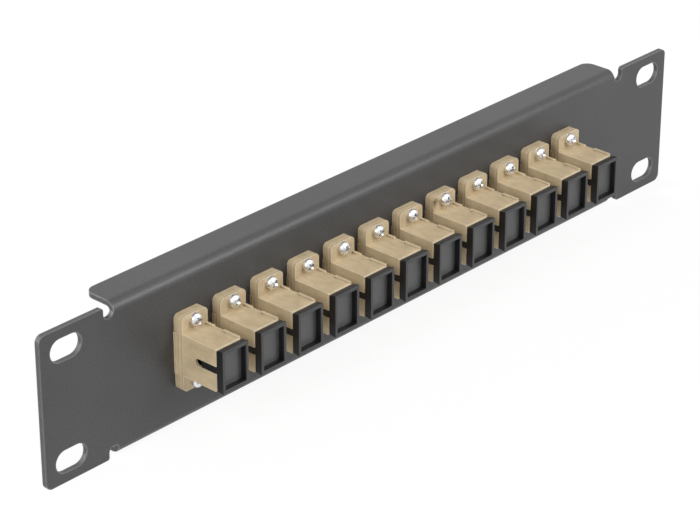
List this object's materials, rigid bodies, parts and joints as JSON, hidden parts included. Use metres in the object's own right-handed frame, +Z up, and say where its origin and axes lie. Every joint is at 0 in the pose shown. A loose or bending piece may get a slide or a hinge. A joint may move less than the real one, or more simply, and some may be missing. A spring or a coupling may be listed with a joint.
{
  "type": "fibre patch panel",
  "caption": "Rack panel of folded sheet steel with a row of screwed-on fibre adapters, each with a pull-out dust cap in front and behind.",
  "frame": {"origin": "centre of the panel on its front face, midway between the rack slots", "axes": "+X along the panel to the right seen from the front, +Y back into the rack, +Z up"},
  "size_m": [0.254, 0.0322, 0.044],
  "materials": {
    "panel_coat": "fine textured satin powder coat on steel",
    "shell_plastic": "beige moulded plastic, satin",
    "insert_plastic": "beige moulded plastic, satin",
    "cap_plastic": "black moulded plastic, satin",
    "sleeve_bronze": "drawn phosphor bronze",
    "screw_plating": "bright zinc plated steel"
  },
  "bodies": {
    "panel_and_adapters": {"panel": "panel_coat", "port_01_front_shell": "shell_plastic", "port_01_rear_shell": "shell_plastic", "port_02_front_shell": "shell_plastic", "port_02_rear_shell": "shell_plastic", "port_03_front_shell": "shell_plastic", "port_03_rear_shell": "shell_plastic", "port_04_front_shell": "shell_plastic", "port_04_rear_shell": "shell_plastic", "port_05_front_shell": "shell_plastic", "port_05_rear_shell": "shell_plastic", "port_06_front_shell": "shell_plastic", "port_06_rear_shell": "shell_plastic", "port_07_front_shell": "shell_plastic", "port_07_rear_shell": "shell_plastic", "port_08_front_shell": "shell_plastic", "port_08_rear_shell": "shell_plastic", "port_09_front_shell": "shell_plastic", "port_09_rear_shell": "shell_plastic", "port_10_front_shell": "shell_plastic", "port_10_rear_shell": "shell_plastic", "port_11_front_shell": "shell_plastic", "port_11_rear_shell": "shell_plastic", "port_12_front_shell": "shell_plastic", "port_12_rear_shell": "shell_plastic", "front_latch_inserts": "insert_plastic", "rear_latch_inserts": "insert_plastic", "alignment_sleeves": "sleeve_bronze", "flange_screws": "screw_plating"},
    "port_01_front_cap": {"port_01_front_cap": "cap_plastic"},
    "port_02_front_cap": {"port_02_front_cap": "cap_plastic"},
    "port_03_front_cap": {"port_03_front_cap": "cap_plastic"},
    "port_04_front_cap": {"port_04_front_cap": "cap_plastic"},
    "port_05_front_cap": {"port_05_front_cap": "cap_plastic"},
    "port_06_front_cap": {"port_06_front_cap": "cap_plastic"},
    "port_07_front_cap": {"port_07_front_cap": "cap_plastic"},
    "port_08_front_cap": {"port_08_front_cap": "cap_plastic"},
    "port_09_front_cap": {"port_09_front_cap": "cap_plastic"},
    "port_10_front_cap": {"port_10_front_cap": "cap_plastic"},
    "port_11_front_cap": {"port_11_front_cap": "cap_plastic"},
    "port_12_front_cap": {"port_12_front_cap": "cap_plastic"},
    "port_01_rear_cap": {"port_01_rear_cap": "cap_plastic"},
    "port_02_rear_cap": {"port_02_rear_cap": "cap_plastic"},
    "port_03_rear_cap": {"port_03_rear_cap": "cap_plastic"},
    "port_04_rear_cap": {"port_04_rear_cap": "cap_plastic"},
    "port_05_rear_cap": {"port_05_rear_cap": "cap_plastic"},
    "port_06_rear_cap": {"port_06_rear_cap": "cap_plastic"},
    "port_07_rear_cap": {"port_07_rear_cap": "cap_plastic"},
    "port_08_rear_cap": {"port_08_rear_cap": "cap_plastic"},
    "port_09_rear_cap": {"port_09_rear_cap": "cap_plastic"},
    "port_10_rear_cap": {"port_10_rear_cap": "cap_plastic"},
    "port_11_rear_cap": {"port_11_rear_cap": "cap_plastic"},
    "port_12_rear_cap": {"port_12_rear_cap": "cap_plastic"}
  },
  "joints": [
    {"name": "port_01_front_cap_pull", "type": "slide", "parent": "panel_and_adapters", "child": "port_01_front_cap", "axis": [0, -1, 0], "range_m": [0, 0.012]},
    {"name": "port_02_front_cap_pull", "type": "slide", "parent": "panel_and_adapters", "child": "port_02_front_cap", "axis": [0, -1, 0], "range_m": [0, 0.012]},
    {"name": "port_03_front_cap_pull", "type": "slide", "parent": "panel_and_adapters", "child": "port_03_front_cap", "axis": [0, -1, 0], "range_m": [0, 0.012]},
    {"name": "port_04_front_cap_pull", "type": "slide", "parent": "panel_and_adapters", "child": "port_04_front_cap", "axis": [0, -1, 0], "range_m": [0, 0.012]},
    {"name": "port_05_front_cap_pull", "type": "slide", "parent": "panel_and_adapters", "child": "port_05_front_cap", "axis": [0, -1, 0], "range_m": [0, 0.012]},
    {"name": "port_06_front_cap_pull", "type": "slide", "parent": "panel_and_adapters", "child": "port_06_front_cap", "axis": [0, -1, 0], "range_m": [0, 0.012]},
    {"name": "port_07_front_cap_pull", "type": "slide", "parent": "panel_and_adapters", "child": "port_07_front_cap", "axis": [0, -1, 0], "range_m": [0, 0.012]},
    {"name": "port_08_front_cap_pull", "type": "slide", "parent": "panel_and_adapters", "child": "port_08_front_cap", "axis": [0, -1, 0], "range_m": [0, 0.012]},
    {"name": "port_09_front_cap_pull", "type": "slide", "parent": "panel_and_adapters", "child": "port_09_front_cap", "axis": [0, -1, 0], "range_m": [0, 0.012]},
    {"name": "port_10_front_cap_pull", "type": "slide", "parent": "panel_and_adapters", "child": "port_10_front_cap", "axis": [0, -1, 0], "range_m": [0, 0.012]},
    {"name": "port_11_front_cap_pull", "type": "slide", "parent": "panel_and_adapters", "child": "port_11_front_cap", "axis": [0, -1, 0], "range_m": [0, 0.012]},
    {"name": "port_12_front_cap_pull", "type": "slide", "parent": "panel_and_adapters", "child": "port_12_front_cap", "axis": [0, -1, 0], "range_m": [0, 0.012]},
    {"name": "port_01_rear_cap_pull", "type": "slide", "parent": "panel_and_adapters", "child": "port_01_rear_cap", "axis": [0, 1, 0], "range_m": [0, 0.012]},
    {"name": "port_02_rear_cap_pull", "type": "slide", "parent": "panel_and_adapters", "child": "port_02_rear_cap", "axis": [0, 1, 0], "range_m": [0, 0.012]},
    {"name": "port_03_rear_cap_pull", "type": "slide", "parent": "panel_and_adapters", "child": "port_03_rear_cap", "axis": [0, 1, 0], "range_m": [0, 0.012]},
    {"name": "port_04_rear_cap_pull", "type": "slide", "parent": "panel_and_adapters", "child": "port_04_rear_cap", "axis": [0, 1, 0], "range_m": [0, 0.012]},
    {"name": "port_05_rear_cap_pull", "type": "slide", "parent": "panel_and_adapters", "child": "port_05_rear_cap", "axis": [0, 1, 0], "range_m": [0, 0.012]},
    {"name": "port_06_rear_cap_pull", "type": "slide", "parent": "panel_and_adapters", "child": "port_06_rear_cap", "axis": [0, 1, 0], "range_m": [0, 0.012]},
    {"name": "port_07_rear_cap_pull", "type": "slide", "parent": "panel_and_adapters", "child": "port_07_rear_cap", "axis": [0, 1, 0], "range_m": [0, 0.012]},
    {"name": "port_08_rear_cap_pull", "type": "slide", "parent": "panel_and_adapters", "child": "port_08_rear_cap", "axis": [0, 1, 0], "range_m": [0, 0.012]},
    {"name": "port_09_rear_cap_pull", "type": "slide", "parent": "panel_and_adapters", "child": "port_09_rear_cap", "axis": [0, 1, 0], "range_m": [0, 0.012]},
    {"name": "port_10_rear_cap_pull", "type": "slide", "parent": "panel_and_adapters", "child": "port_10_rear_cap", "axis": [0, 1, 0], "range_m": [0, 0.012]},
    {"name": "port_11_rear_cap_pull", "type": "slide", "parent": "panel_and_adapters", "child": "port_11_rear_cap", "axis": [0, 1, 0], "range_m": [0, 0.012]},
    {"name": "port_12_rear_cap_pull", "type": "slide", "parent": "panel_and_adapters", "child": "port_12_rear_cap", "axis": [0, 1, 0], "range_m": [0, 0.012]}
  ]
}
